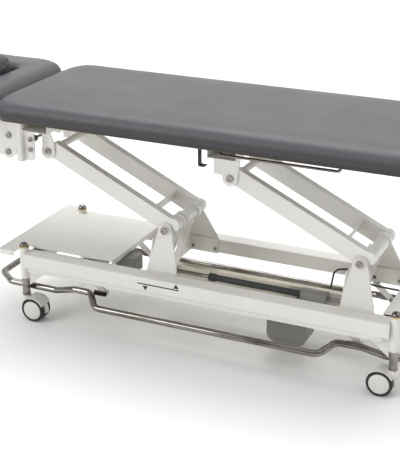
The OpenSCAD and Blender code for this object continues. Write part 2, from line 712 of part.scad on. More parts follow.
bar_z = board_z0 - 28;
bar_top = board_z0 - bar_d * 0.32;
bar_y = 60 - top_width / 2;
bar_x = [317, 740];
module roll_bar() {
  color(steel) {
    sweep(open_bends([[bar_x[0], bar_y + 20, bar_top], [bar_x[0], bar_y, bar_z], [bar_x[1], bar_y, bar_z],
      [bar_x[1], bar_y + 20, bar_top]], 14, 5), bar_d, 12, false);
    for (x = bar_x) translate([x - 18, bar_y + 8, board_z0 - 4]) cube([36, 34, 4]);
  }
}
module accessory_hook() {
  color(dark) upright(bar_y - 10, bar_y + 10) difference() {
    soft_rect(246, 735, 273, board_z0, 6);
    soft_rect(246 + hook_t, 735 + hook_t, 300, board_z0 - 14, 5);
    translate([262, 752]) square([20, board_z0 - 766]);
  }
}

head_q0 = [70, 90];
head_q1 = [150, 125];
nose_x = 75;
nose_z = 60;
module head_frame() {
  color(white) {
    both_sides() difference() {
      union() {
        along(-1000, hinge_x - 22) translate([149, board_z0 - 26]) square([14, 26]);
        upright(149, 163) polygon([[hinge_x - 40, board_z0], [hinge_x - 40, board_z0 - 22], [hinge_x - 4, hinge_z - 6],
          [hinge_x, hinge_z], [hinge_x, board_z0]]);
        pin_y(hinge_x, hinge_z, 15, 149, 163);
      }
      pin_y(hinge_x, hinge_z, hinge_d + 2 * fit, 148, 164);
    }
    for (x = [-995, -797]) translate([x, -149.5, board_z0 - 26]) cube([38, 299, 20]);
    difference() {
      for (s = [-1, 1]) upright(s * 13 - 2.5, s * 13 + 2.5) soft_poly([strut_b, strut_b + [0, 14], strut_b + [-40, 14], strut_b + [-40, 8]], 9);
      translate([strut_b[0] - 80, -20, board_z0 - 6]) cube([120, 40, 20]);
    }
    pin_y(strut_b[0], strut_b[1], 8, -16, 16);
  }
}
module head_board() {
  color([0.25, 0.22, 0.2]) difference() {
    translate([0, 0, board_z0]) linear_extrude(board_t)
      polygon(outline(-half_l, seam_x, head_width / 2, head_q0, head_q1, board_in, 8));
    face_hole(0);
  }
}
module face_hole(d) {
  translate([0, 0, board_z0 - 1]) linear_extrude(foam_t + board_t + 40)
    polygon(outline(face_x - face_length / 2, face_x + face_length / 2, face_width / 2,
      [60, 60], [60, 60], d, 9));
}
// The end at the seam is a big rounded nose, so the head section can rise past the main cushion.
module head_cushion() {
  color(grey) difference() {
    pad(-half_l, seam_x, head_width / 2, head_q0, head_q1, foam_z0, foam_t, edge_r, crown, 9);
    face_hole(0);
    upright(-head_width, head_width) difference() {
      translate([seam_x - nose_x, top_height - nose_z]) square([nose_x + 5, nose_z + 5]);
      translate([seam_x - nose_x, top_height - nose_z]) polygon(concat([[-1, 0]],
        [for (k = [0:9]) [nose_x * cos(10 * k), nose_z * sin(10 * k)]], [[-1, nose_z]]));
    }
  }
}
module face_plug() {
  color(grey) difference() {
    loft([for (d = [touch, touch, 0.5, 6, 16, 34, 60]) outline(face_x - face_length / 2, face_x + face_length / 2,
      plug_width / 2, [60, 60], [60, 60], d, 9)],
      [board_z0 - 6 + touch, top_height - 4, top_height + plug_proud - 16, top_height + plug_proud - 6,
        top_height + plug_proud - 2, top_height + plug_proud - 0.5, top_height + plug_proud]);
    for (k = [-3:3]) translate([face_x - 200, k * plug_width / 7 - 1.5, top_height + plug_proud - 7])
      cube([400, 3, 20]);
  }
}

// The strut lies in the middle; its own axis runs from the lower pin to the upper one.
module at_strut() {
  translate([strut_a[0], 0, strut_a[1]]) rotate([0, strut_ang, 0]) mirror([1, 0, 0]) children();
}
module gas_cylinder() {
  color(dark) at_strut() difference() {
    union() {
      translate([8, 0, 0]) rotate([0, 90, 0]) cylinder(d = strut_d, h = strut_tube_l - 8);
      pin_y(0, 0, 24, -9, 9);
    }
    pin_y(0, 0, 12 + 2 * fit, -12, 12);
    translate([15, 0, 0]) rotate([0, 90, 0]) cylinder(d = strut_rod_d + 2 * fit, h = strut_tube_l);
  }
}
module gas_rod() {
  color(steel) at_strut() difference() {
    union() {
      translate([strut_rod_in, 0, 0]) rotate([0, 90, 0]) cylinder(d = strut_rod_d, h = strut_l - strut_rod_in - 10);
      pin_y(strut_l, 0, 24, -8, 8);
    }
    pin_y(strut_l, 0, 17, -12, 12);
  }
}

// Corners of the foot ring from the near bar round the foot end and back round the head end.
ring_side = [[-175, ring_half_w, 122], [-222, 213, shaft_z], [-292, 213, shaft_z], [-385, 190, 122],
  [-590, 186, 120], [-670, 120, 119]];
ring_foot = [[690, ring_half_w, 122], [735, 213, shaft_z], [828, 213, shaft_z], [900, 187, 124],
  [958, 184, 122], [994, 120, 121]];
function flip(p) = [p[0], -p[1], p[2]];
function turned(p) = [for (i = [len(p) - 1:-1:0]) flip(p[i])];
ring_path = concat(ring_side, turned(ring_side), [for (p = ring_foot) flip(p)],
  [for (i = [len(ring_foot) - 1:-1:0]) ring_foot[i]]);
module foot_ring() {
  color(steel) {
    sweep(bends(ring_path, 22, 3), ring_d, 14, true);
    both_sides() for (p = ring_pivot) {
      upright(199.4, 206) soft_poly([[p[0] + link_dx, shaft_z], [p[0] + link_dx - 44, shaft_z]], 9);
      pin_y(p[0] + link_dx, shaft_z, ring_pin_d, link_y - link_t / 2 - 3, 200);
      pin_y(p[0] + link_dx, shaft_z, ring_pin_d + 6, link_y - link_t / 2 - 6, link_y - link_t / 2 - 0.4);
    }
  }
}
module link(i) {
  p = ring_pivot[i];
  color(white) upright(link_y - link_t / 2, link_y + link_t / 2) difference() {
    soft_poly([p, p + [link_dx, link_dz], p + [link_dx / 2 + 0.4, link_dz / 2 + 0.4]], link_w / 2);
    for (q = [p, p + [link_dx, link_dz]]) translate(q) circle(d = ring_pin_d + 2 * fit);
  }
}
module link_head_near() {
  mirror([0, 1, 0]) link(0);
}
module link_head_far() {
  link(0);
}
module link_foot_near() {
  mirror([0, 1, 0]) link(1);
}
module link_foot_far() {
  link(1);
}

// A twin-wheel caster under its stem; it trails toward the middle of the base.
module at_caster(i, s) {
  translate([caster_x[i], s * rail_y, 0]) scale_x(i == 0 ? 1 : -1) children();
}
module caster_yoke() {
  color(white) difference() {
    union() {
      translate([0, 0, 72]) cylinder(d = 34, h = stem_z0 - 0.4 - 72);
      translate([trail, 0, 0]) upright(-wheel_in + yoke_gap, wheel_in - yoke_gap) intersection() {
        translate([0, axle_z]) circle(hood_r);
        translate([-hood_r - 1, axle_z - 12]) square([2 * hood_r + 2, hood_r + 20]);
      }
      translate([trail, 0, 0]) upright(-wheel_in - tyre_w, wheel_in + tyre_w) intersection() {
        translate([0, axle_z]) circle(hood_r);
        translate([-hood_r + 8, axle_z + 18]) square([2 * hood_r - 16, hood_r]);
      }
    }
    translate([0, 0, 60]) cylinder(d = swivel_d + 2 * fit, h = 60);
    for (s = [-1, 1]) pin_y(trail, axle_z, wheel_d + 3, min(s * (wheel_in - yoke_gap), s * (wheel_in + tyre_w + 5)),
      max(s * (wheel_in - yoke_gap), s * (wheel_in + tyre_w + 5)));
    pin_y(trail, axle_z, axle_d + 2 * fit, -30, 30);
  }
}
hub_r = wheel_d / 2 - 9;
module caster_tyres() {
  color(dark) translate([trail, 0, axle_z]) both_sides() translate([0, wheel_in, 0]) rotate([-90, 0, 0])
    rotate_extrude() polygon([[hub_r, 0], [wheel_d / 2 - 3, 0], [wheel_d / 2, 3], [wheel_d / 2, tyre_w - 3],
      [wheel_d / 2 - 3, tyre_w], [hub_r, tyre_w]]);
}
module caster_hubs() {
  color(white) translate([trail, 0, axle_z]) {
    both_sides() translate([0, wheel_in, 0]) rotate([-90, 0, 0]) rotate_extrude()
      polygon(concat([[0, 1], [hub_r, 1]], [for (k = [0:6]) [hub_r * cos(15 * k), tyre_w - 2 + 4 * sin(15 * k)]]));
    rotate([90, 0, 0]) cylinder(d = axle_d, h = 2 * wheel_in + 4, center = true);
  }
}
module caster_hn_yoke() {
  at_caster(0, -1) caster_yoke();
}
module caster_hn_hubs() {
  at_caster(0, -1) caster_hubs();
}
module caster_hn_tyres() {
  at_caster(0, -1) caster_tyres();
}
module caster_hf_yoke() {
  at_caster(0, 1) caster_yoke();
}
module caster_hf_hubs() {
  at_caster(0, 1) caster_hubs();
}
module caster_hf_tyres() {
  at_caster(0, 1) caster_tyres();
}
module caster_fn_yoke() {
  at_caster(1, -1) caster_yoke();
}
module caster_fn_hubs() {
  at_caster(1, -1) caster_hubs();
}
module caster_fn_tyres() {
  at_caster(1, -1) caster_tyres();
}
module caster_ff_yoke() {
  at_caster(1, 1) caster_yoke();
}
module caster_ff_hubs() {
  at_caster(1, 1) caster_hubs();
}
module caster_ff_tyres() {
  at_caster(1, 1) caster_tyres();
}

rail_near();
rail_far();
cross_members();
caster_sockets();
socket_caps();
cap_rings();
caster_stems();
pedestal_head();
pedestal_foot();
pedestal_screws();
base_cover();
control_box();
pivot_bolts();
drive_tube();
drive_motor();
supply_inlet();
supply_lead();
link_brackets();
head_arm_near();
head_arm_far();
head_arm_tubes();
head_levers();
foot_arm_near();
foot_arm_far();
foot_arm_tubes();
foot_lever();
sync_bar();
drive_rod();
frame_rails();
frame_crossers();
lift_lugs();
head_brackets();
frame_bolts();
main_board();
main_cushion();
roll_bar();
accessory_hook();
head_frame();
head_board();
head_cushion();
face_plug();
gas_cylinder();
gas_rod();
foot_ring();
link_head_near();
link_head_far();
link_foot_near();
link_foot_far();
caster_hn_yoke();
caster_hn_hubs();
caster_hn_tyres();
caster_hf_yoke();
caster_hf_hubs();
caster_hf_tyres();
caster_fn_yoke();
caster_fn_hubs();
caster_fn_tyres();
caster_ff_yoke();
caster_ff_hubs();
caster_ff_tyres();
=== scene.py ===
import bpy, bmesh, json, math
from mathutils import Vector, Matrix, noise


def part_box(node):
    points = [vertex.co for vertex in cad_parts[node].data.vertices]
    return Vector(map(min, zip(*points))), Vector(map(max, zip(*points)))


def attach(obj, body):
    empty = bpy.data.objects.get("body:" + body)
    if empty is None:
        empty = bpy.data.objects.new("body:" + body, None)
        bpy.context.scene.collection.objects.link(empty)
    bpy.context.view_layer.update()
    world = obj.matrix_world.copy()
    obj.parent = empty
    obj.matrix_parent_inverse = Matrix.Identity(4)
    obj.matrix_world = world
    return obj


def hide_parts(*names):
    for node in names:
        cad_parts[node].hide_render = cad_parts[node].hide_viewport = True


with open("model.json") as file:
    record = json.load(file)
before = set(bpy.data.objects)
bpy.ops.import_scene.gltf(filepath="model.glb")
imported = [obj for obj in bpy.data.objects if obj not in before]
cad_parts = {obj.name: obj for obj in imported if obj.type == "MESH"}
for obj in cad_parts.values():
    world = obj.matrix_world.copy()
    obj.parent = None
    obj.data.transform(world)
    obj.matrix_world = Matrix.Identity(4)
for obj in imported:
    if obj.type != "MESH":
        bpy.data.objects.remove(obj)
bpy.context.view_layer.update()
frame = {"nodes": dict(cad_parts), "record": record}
cad = frame["nodes"]
print("frame loaded:", len(cad), "nodes")

# Camera at the photograph's viewpoint
viewpoint = {"place": (1.795, -3.650, 2.002), "yaw": 24.54, "pitch": 21.01, "lens": 92.26, "shiftY": -0.039,
             "sensor": 36, "far": 60}


def placeCamera(s):
    cam = bpy.data.cameras.new("viewCamera")
    obj = bpy.data.objects.new("viewCamera", cam)
    bpy.context.scene.collection.objects.link(obj)
    obj.location = s["place"]
    obj.rotation_euler = (math.radians(90 - s["pitch"]), 0, math.radians(s["yaw"]))
    cam.sensor_fit = "AUTO"
    cam.sensor_width = s["sensor"]
    cam.lens = s["lens"]
    cam.shift_y = s["shiftY"]
    cam.clip_end = s["far"]
    bpy.context.scene.camera = obj


placeCamera(viewpoint)


# Shader helpers: a wire is one socket, and sums on wires add Math nodes
class Wire:
    def __init__(self, paint, socket):
        self.paint, self.socket = paint, socket

    def maths(self, kind, a, b=0.0, clamp=False):
        return self.paint.node("ShaderNodeMath", {"operation": kind, "use_clamp": clamp}, {0: a, 1: b})

    def __add__(self, o): return self.maths("ADD", self, o)
    def __rsub__(self, o): return self.maths("SUBTRACT", o, self)
    def __mul__(self, o): return self.maths("MULTIPLY", self, o)
    def clamped(self): return self.maths("ADD", self, 0.0, True)


class Paint:
    def __init__(self, name):
        self.mat = bpy.data.materials.new(name)
        self.mat.use_nodes = True
        self.tree = self.mat.node_tree
        self.tree.nodes.clear()
        self.out = self.tree.nodes.new("ShaderNodeOutputMaterial")
        self.shader = self.tree.nodes.new("ShaderNodeBsdfPrincipled")
        self.tree.links.new(self.shader.outputs[0], self.out.inputs[0])

    def node(self, kind, settings=None, inputs=None, out=0):
        n = self.tree.nodes.new(kind)
        for k, v in (settings or {}).items():
            setattr(n, k, v)
        for k, v in (inputs or {}).items():
            self.feed(n.inputs[k], v)
        return Wire(self, n.outputs[out])

    def feed(self, socket, v):
        if isinstance(v, Wire):
            self.tree.links.new(v.socket, socket)
        else:
            socket.default_value = v

    def set(self, **values):
        for k, v in values.items():
            self.feed(self.shader.inputs[k.replace("_", " ")], v)

    def place(self): return self.node("ShaderNodeTexCoord", out="Object")
    def height(self): return self.node("ShaderNodeSeparateXYZ", None, {0: self.place()}, out=2)
    def softEdge(self, radius): return self.node("ShaderNodeBevel", {"samples": 4}, {"Radius": radius})

    def scaled(self, size, turn=(0, 0, 0)):
        return self.node("ShaderNodeMapping", None, {"Vector": self.place(), "Scale": size, "Rotation": turn})

    def cloud(self, scale, detail=3.0, rough=0.5, where=None):
        return self.node("ShaderNodeTexNoise", None, {"Vector": where or self.place(), "Scale": scale,
                                                      "Detail": detail, "Roughness": rough}, out="Fac")

    def cells(self, scale, feature="F1"):
        return self.node("ShaderNodeTexVoronoi", {"feature": feature}, {"Vector": self.place(), "Scale": scale},
                         out="Distance")

    def spread(self, wire, low, high, a=0.0, b=1.0):
        return self.node("ShaderNodeMapRange", {"clamp": True}, {"Value": wire, "From Min": low, "From Max": high,
                                                                 "To Min": a, "To Max": b})

    def mix(self, factor, a, b):
        n = self.tree.nodes.new("ShaderNodeMix")
        n.data_type = "RGBA"
        self.feed(n.inputs[0], factor)
        for i, v in ((6, a), (7, b)):
            self.feed(n.inputs[i], v if isinstance(v, Wire) else (*v, 1.0))
        return Wire(self, n.outputs[2])

    def bump(self, height, strength, distance, base=None):
        ins = {"Height": height, "Strength": strength, "Distance": distance}
        if base:
            ins["Normal"] = base
        return self.node("ShaderNodeBump", None, ins)


def shade(tint, factor):
    return tuple(c * factor for c in tint)


# Finishes
def powderCoat():
    s = {"tint": (0.80, 0.79, 0.745), "patchShade": 0.955, "rough": (0.30, 0.44), "peel": 700, "edge": 0.0016,
         "dust": (0.60, 0.585, 0.54), "dustBand": (0.02, 0.34), "dustMost": 0.34, "dustRough": 0.3,
         "chip": (0.5, 0.49, 0.47), "chipRange": (0.74, 0.78), "chipMost": 0.35}
    p = Paint("powderCoat")
    patch = p.cloud(5.0, 4.0)
    low = p.spread(p.height(), *s["dustBand"], s["dustMost"], 0.0)            # dust gathers near the floor
    dusty = (low * p.spread(p.cloud(38.0, 5.0), 0.35, 0.75)).clamped()
    tone = p.mix(p.spread(patch, 0.3, 0.7), s["tint"], shade(s["tint"], s["patchShade"]))
    chips = p.spread(p.cloud(240.0, 2.0), *s["chipRange"], 0.0, s["chipMost"])
    tone = p.mix(chips, p.mix(dusty, tone, s["dust"]), s["chip"])
    p.set(Base_Color=tone, Roughness=p.spread(patch, 0.25, 0.75, *s["rough"]) + dusty * s["dustRough"],
          Normal=p.bump(p.cloud(s["peel"], 2.0), 0.10, 0.0002, p.softEdge(s["edge"])),
          Coat_Weight=0.12, Coat_Roughness=0.2, Specular_IOR_Level=0.45)
    return p.mat


def brightSteel():
    # painted reflection: a dark brown steel colour stands in for dark surroundings, with long darker streaks mixed in
    s = {"tone": (0.31, 0.295, 0.275), "paintedReflectionTone": (0.12, 0.098, 0.078), "rough": (0.05, 0.13), "paintedStreaks": (9, 60, 60),
         "edge": 0.001}
    p = Paint("brightSteel")
    smear = p.cloud(14.0, 5.0, 0.6)
    # painted reflection streaks, stretched along the tube
    paintedStreaks = p.cloud(1.0, 3.0, 0.5, p.scaled(s["paintedStreaks"]))
    p.set(Base_Color=p.mix(p.spread(paintedStreaks, 0.42, 0.72), s["tone"], s["paintedReflectionTone"]), Metallic=1.0,
          Roughness=p.spread(smear, 0.3, 0.75, *s["rough"]),
          Normal=p.bump(p.cloud(900.0, 2.0), 0.05, 0.0001, p.softEdge(s["edge"])))
    return p.mat


def platedBar():
    s = {"tone": (0.66, 0.62, 0.52), "dull": (0.56, 0.52, 0.44), "rough": (0.32, 0.5), "brush": (6, 500, 500),
         "edge": 0.001}
    p = Paint("platedBar")
    grain = p.cloud(1.0, 4.0, 0.6, p.scaled(s["brush"]))
    p.set(Base_Color=p.mix(p.spread(p.cloud(7.0, 4.0), 0.3, 0.7), s["tone"], s["dull"]), Metallic=0.75,
          Roughness=p.spread(grain, 0.3, 0.7, *s["rough"]), Normal=p.bump(grain, 0.12, 0.0002, p.softEdge(s["edge"])))
    return p.mat


def brassRing():
    s = {"tone": (0.72, 0.52, 0.2), "dull": (0.55, 0.4, 0.16), "rough": (0.2, 0.38)}
    p = Paint("brassRing")
    p.set(Base_Color=p.mix(p.cloud(60.0), s["tone"], s["dull"]), Metallic=1.0,
          Roughness=p.spread(p.cloud(90.0), 0.3, 0.7, *s["rough"]))
    return p.mat


def mouldedPlastic(name, tint):
    s = {"rough": (0.42, 0.58), "pits": 620, "patchShade": 0.8, "edge": 0.0012}
    p = Paint(name)
    patch = p.cloud(9.0, 3.0)
    p.set(Base_Color=p.mix(p.spread(patch, 0.3, 0.7), tint, shade(tint, s["patchShade"])),
          Roughness=p.spread(patch, 0.3, 0.7, *s["rough"]),
          Normal=p.bump(p.cells(s["pits"]), 0.12, 0.0002, p.softEdge(s["edge"])))
    return p.mat


def tyreRubber():
    s = {"tone": (0.018, 0.018, 0.02), "scuffed": (0.10, 0.095, 0.085), "scuffMost": 0.6, "rough": (0.5, 0.85)}
    p = Paint("tyreRubber")
    scuff = p.cloud(70.0, 5.0, 0.6)
    p.set(Base_Color=p.mix(p.spread(scuff, 0.5, 0.8, 0.0, s["scuffMost"]), s["tone"], s["scuffed"]),
          Roughness=p.spread(scuff, 0.3, 0.8, *s["rough"]), Normal=p.bump(p.cloud(400.0, 3.0), 0.25, 0.0004))
    return p.mat


def leadRubber():
    s = {"tone": (0.012, 0.012, 0.013), "dull": (0.03, 0.03, 0.03), "rough": (0.4, 0.6)}
    p = Paint("leadRubber")
    p.set(Base_Color=p.mix(p.cloud(50.0), s["tone"], s["dull"]),
          Roughness=p.spread(p.cloud(80.0), 0.3, 0.7, *s["rough"]), Normal=p.bump(p.cloud(900.0), 0.1, 0.0002))
    return p.mat


def stainedPly():
    s = {"dark": (0.055, 0.036, 0.023), "pale": (0.10, 0.066, 0.042), "glue": (0.03, 0.02, 0.013), "glueMost": 0.25,
         "grain": (5, 60, 400), "plies": 55.0, "rough": (0.55, 0.75)}
    p = Paint("stainedPly")
    grain = p.cloud(1.0, 6.0, 0.62, p.scaled(s["grain"]))
    ply = p.node("ShaderNodeTexWave", {"wave_type": "BANDS", "bands_direction": "Z"},
                 {"Vector": p.place(), "Scale": s["plies"], "Distortion": 0.3, "Detail": 2.0}, out="Fac")
    tone = p.mix(p.spread(grain, 0.3, 0.7), s["dark"], s["pale"])
    p.set(Base_Color=p.mix(ply * s["glueMost"], tone, s["glue"]), Roughness=p.spread(grain, 0.2, 0.8, *s["rough"]),
          Normal=p.bump(grain, 0.2, 0.0003))
    return p.mat


def upholstery(name, tint, wrinkle=0.5):
    s = {"grain": 430, "fine": 1500, "rough": (0.28, 0.40), "creaseRough": 0.08, "patchShade": 0.90,
         "paintedCreaseShade": 0.80, "wornShade": 1.22, "wornMost": 0.25, "folds": (9, 14, 14), "foldTurn": (0, 0, 0.4),
         "paintedShadeBand": (0.822, 0.866), "paintedShadeMost": 0.80, "paintedShadeTone": 0.12}
    p = Paint(name)
    patch = p.cloud(3.2, 4.0, 0.55)
    folds = p.cloud(1.0, 4.0, 0.55, p.scaled(s["folds"], s["foldTurn"]))
    creases = p.spread(p.cells(s["grain"], "DISTANCE_TO_EDGE"), 0.0, 0.12)
    worn = p.spread(p.cloud(17.0, 5.0, 0.6), 0.45, 0.8, 0.0, s["wornMost"])
    tone = p.mix(p.spread(patch, 0.25, 0.75), tint, shade(tint, s["patchShade"]))
    # painted shade: the grain's creases are darkened; worn patches turn lighter
    tone = p.mix(worn, p.mix(creases, shade(tint, s["paintedCreaseShade"]), tone), shade(tint, s["wornShade"]))
    low = p.spread(p.height(), *s["paintedShadeBand"], s["paintedShadeMost"], 0.0)                  # painted shade: the side band darkens down to its hem
    relief = p.bump(creases, 0.30, 0.00035, p.bump(p.cloud(s["fine"], 2.0), 0.12, 0.0002))
    # the base colour carries the painted shade of the side band
    p.set(Base_Color=p.mix(low, tone, shade(tint, s["paintedShadeTone"])),
          Roughness=p.spread(patch, 0.3, 0.7, *s["rough"]) + (1 - creases) * s["creaseRough"],
          Normal=p.bump(folds, wrinkle, 0.0016, relief), Specular_IOR_Level=0.42,
          Sheen_Weight=0.05, Sheen_Roughness=0.45, Coat_Roughness=0.35)
    return p.mat


def stapleSteel():
    s = {"tone": (0.6, 0.6, 0.6), "dull": (0.4, 0.4, 0.41), "rough": (0.3, 0.5)}
    p = Paint("stapleSteel")
    p.set(Base_Color=p.mix(p.cloud(300.0), s["tone"], s["dull"]), Metallic=1.0,
          Roughness=p.spread(p.cloud(120.0), 0.3, 0.7, *s["rough"]))
    return p.mat


finishes = {
    "powder_coat": powderCoat(), "bright_steel": brightSteel(), "plated_bar": platedBar(), "brass_ring": brassRing(),
    "dark_plastic": mouldedPlastic("darkPlastic", (0.028, 0.028, 0.031)),
    "grey_plastic": mouldedPlastic("greyHousing", (0.24, 0.235, 0.22)),
    "black_rubber": leadRubber(), "wheel_rubber": tyreRubber(), "board_wood": stainedPly(),
    "upholstery": upholstery("greyVinyl", (0.088, 0.086, 0.097)),
}
gathers = upholstery("gatheredVinyl", (0.065, 0.065, 0.072), 0.7)
staples = stapleSteel()
slots = {r["node"]: r["material_slot"] for r in frame["record"]["subparts"]}
for nodeName, obj in cad.items():
    obj.data.materials.clear()
    obj.data.materials.append(finishes[slots[nodeName]])
print("finishes on", len(cad), "nodes")


# Mesh helpers
def link(name, mesh):
    obj = bpy.data.objects.new(name, mesh)
    bpy.context.scene.collection.objects.link(obj)
    return obj


def fromBm(name, bm):
    bmesh.ops.recalc_face_normals(bm, faces=bm.faces)
    mesh = bpy.data.meshes.new(name)
    bm.to_mesh(mesh)
    bm.free()
    return link(name, mesh)


def copyNode(nodeName):
    bm = bmesh.new()
    bm.from_mesh(cad[nodeName].data)
    bmesh.ops.remove_doubles(bm, verts=bm.verts, dist=0.00005)
    return bm


def baked(obj):
    graph = bpy.context.evaluated_depsgraph_get()
    mesh = bpy.data.meshes.new_from_object(obj.evaluated_get(graph))
    obj.modifiers.clear()
    obj.data = mesh
    return obj


def dressed(obj, material):
    obj.data.materials.clear()
    obj.data.materials.append(material)
    return obj


def prism(bm, outline, y0, y1):
    near = [bm.verts.new((x, y0, z)) for x, z in outline]
    far = [bm.verts.new((x, y1, z)) for x, z in outline]
    bm.faces.new(near)
    bm.faces.new(list(reversed(far)))
    for i in range(len(outline)):
        j = (i + 1) % len(outline)
        bm.faces.new((near[i], far[i], far[j], near[j]))


def finishPiece(obj, body, nodes):
    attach(obj, body)
    if nodes:
        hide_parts(*nodes)


# Node trees: a tube along a path, and a row of staples along a line
def groupTree(name, inputs):
    tree = bpy.data.node_groups.new(name, "GeometryNodeTree")
    tree.interface.new_socket("Geometry", in_out="INPUT", socket_type="NodeSocketGeometry")
    ids = [tree.interface.new_socket(label, in_out="INPUT", socket_type=kind).identifier for label, kind in inputs]
    tree.interface.new_socket("Geometry", in_out="OUTPUT", socket_type="NodeSocketGeometry")
    return tree, ids


def wireUp(tree, links):
    for a, outKey, b, inKey in links:
        tree.links.new(a.outputs[outKey], b.inputs[inKey])


def tubeTree(name, material, sides, bendSteps=10):
    tree, ids = groupTree(name, [("Diameter", "NodeSocketFloat"), ("Bend Radius", "NodeSocketFloat")])
    gin, toCurve, fillet, half, profile, sweep, smooth, paintIt, gout = [tree.nodes.new(kind) for kind in (
        "NodeGroupInput", "GeometryNodeMeshToCurve", "GeometryNodeFilletCurve", "ShaderNodeMath",
        "GeometryNodeCurvePrimitiveCircle", "GeometryNodeCurveToMesh", "GeometryNodeSetShadeSmooth",
        "GeometryNodeSetMaterial", "NodeGroupOutput")]
    fillet.mode = "POLY"
    fillet.inputs["Count"].default_value = bendSteps
    fillet.inputs["Limit Radius"].default_value = True
    profile.inputs["Resolution"].default_value = sides
    half.operation = "MULTIPLY"
    half.inputs[1].default_value = 0.5
    sweep.inputs["Fill Caps"].default_value = True
    paintIt.inputs["Material"].default_value = material
    wireUp(tree, [
        (gin, 0, toCurve, 0), (toCurve, 0, fillet, 0), (gin, 2, fillet, "Radius"), (gin, 1, half, 0),
        (half, 0, profile, "Radius"), (fillet, 0, sweep, 0), (profile, 0, sweep, 1), (sweep, 0, smooth, 0),
        (smooth, 0, paintIt, 0), (paintIt, 0, gout, 0)])
    return tree, ids


def rowTree(name, material):
    tree, ids = groupTree(name, [("Pitch", "NodeSocketFloat"), ("Size", "NodeSocketVector")])
    gin, toCurve, points, cube, onPoints, real, paintIt, gout = [tree.nodes.new(kind) for kind in (
        "NodeGroupInput", "GeometryNodeMeshToCurve", "GeometryNodeCurveToPoints", "GeometryNodeMeshCube",
        "GeometryNodeInstanceOnPoints", "GeometryNodeRealizeInstances", "GeometryNodeSetMaterial",
        "NodeGroupOutput")]
    points.mode = "LENGTH"
    paintIt.inputs["Material"].default_value = material
    wireUp(tree, [
        (gin, 0, toCurve, 0), (toCurve, 0, points, 0), (gin, 1, points, "Length"), (gin, 2, cube, "Size"),
        (points, "Points", onPoints, "Points"), (points, "Rotation", onPoints, "Rotation"),
        (cube, 0, onPoints, "Instance"), (onPoints, 0, real, 0), (real, 0, paintIt, 0), (paintIt, 0, gout, 0)])
    return tree, ids


def grown(name, points, edges, tree, values):
    mesh = bpy.data.meshes.new(name)
    mesh.from_pydata(points, edges, [])
    obj = link(name, mesh)
    mod = obj.modifiers.new("grown", "NODES")
    mod.node_group, ids = tree
    for key, value in zip(ids, values):
        mod[key] = value
    return baked(obj)


def tubeAlong(name, path, closed, s, material):
    count = len(path)
    edges = [(i, (i + 1) % count) for i in range(count if closed else count - 1)]
    points = [tuple(c / 1000 for c in p) for p in path]
    return grown(name, points, edges, tubeTree(name + "Tree", material, s["sides"]), (s["diameter"], s["bend"]))


# The supply lead, held all the way from the motor to the inlet
leadSettings = {"diameter": 0.007, "bend": 0.03, "sides": 16, "points": [
    (560, -14.7, 100), (560, 10, 98), (560, 140, 100), (585, 168, 150), (600, 168, 246), (640, 180, 248),
    (700, 180, 246), (722, 176, 209), (760, 172, 206), (867, 170, 205), (912, 160, 205), (973, 150, 205),
    (987, 137, 225), (977, 137, 255), (960.3, 137, 255)]}
lead = tubeAlong("supplyLead", leadSettings["points"], False, leadSettings, finishes["black_rubber"])
finishPiece(lead, "base", ["supply_lead"])
print("lead done")


# Upholstery: each CAD cushion, evened out, drawn down over its board and blown up a little as cloth
def wrapDown(bm, s):
    for v in bm.verts:
        if v.co.z < s["belt"]:
            v.co.z = s["belt"] - (s["belt"] - v.co.z) * (s["belt"] - s["boardFloor"]) / (s["belt"] - s["foamFloor"])


def gridForm(bm, name, voxel):
    obj = fromBm(name, bm)
    mod = obj.modifiers.new("even", "REMESH")
    mod.mode, mod.voxel_size, mod.use_smooth_shade = "VOXEL", voxel, True
    return baked(obj)


def calm(obj, rounds, above):
    bm = bmesh.new()
    bm.from_mesh(obj.data)
    verts = [v for v in bm.verts if v.co.z > above]
    for _ in range(rounds):
        bmesh.ops.smooth_vert(bm, verts=verts, factor=0.5, use_axis_x=True, use_axis_y=True, use_axis_z=True)
    bm.to_mesh(obj.data)
    bm.free()


def puff(obj, s):
    scene = bpy.context.scene
    start = [v.co.copy() for v in obj.data.vertices]
    mod = obj.modifiers.new("puff", "CLOTH")
    cloth = mod.settings
    cloth.use_pressure, cloth.uniform_pressure_force = True, s["pressure"]
    cloth.effector_weights.gravity = 0
    cloth.quality, cloth.mass = 4, 0.3
    cloth.tension_stiffness = cloth.compression_stiffness = s["stiff"]
    cloth.bending_stiffness = 2
    mod.point_cache.frame_start, mod.point_cache.frame_end = 1, s["frames"]
    for f in range(1, s["frames"] + 1):
        scene.frame_set(f)
    graph = bpy.context.evaluated_depsgraph_get()
    blown = [v.co.copy() for v in obj.evaluated_get(graph).data.vertices]
    obj.modifiers.clear()
    scene.frame_set(1)
    for v, a, b in zip(obj.data.vertices, start, blown):
        move = b - a
        if move.length > s["cap"]:
            move = move.normalized() * s["cap"]
        v.co = a + move * min(1.0, max(0.0, (a.z - s["tightBelow"]) / s["tightBand"]))


def rollUnder(obj, s):
    for v, out in [(v, v.normal.copy()) for v in obj.data.vertices]:
        down = min(1.0, max(0.0, (s["start"] - v.co.z) / (s["start"] - s["floor"])))
        push = s["bulge"] * math.sin(math.pi * down) - s["tuck"] * down ** 3
        v.co.x += out.x * push
        v.co.y += out.y * push
    obj.data.update()


def shapeVerts(obj, fn):
    for v in obj.data.vertices:
        v.co = fn(v.co)
    obj.data.update()


def subdivided(obj):
    mod = obj.modifiers.new("fine", "SUBSURF")
    mod.levels = mod.render_levels = 1
    return baked(obj)


def smoothed(obj):
    for f in obj.data.polygons:
        f.use_smooth = True
    return obj


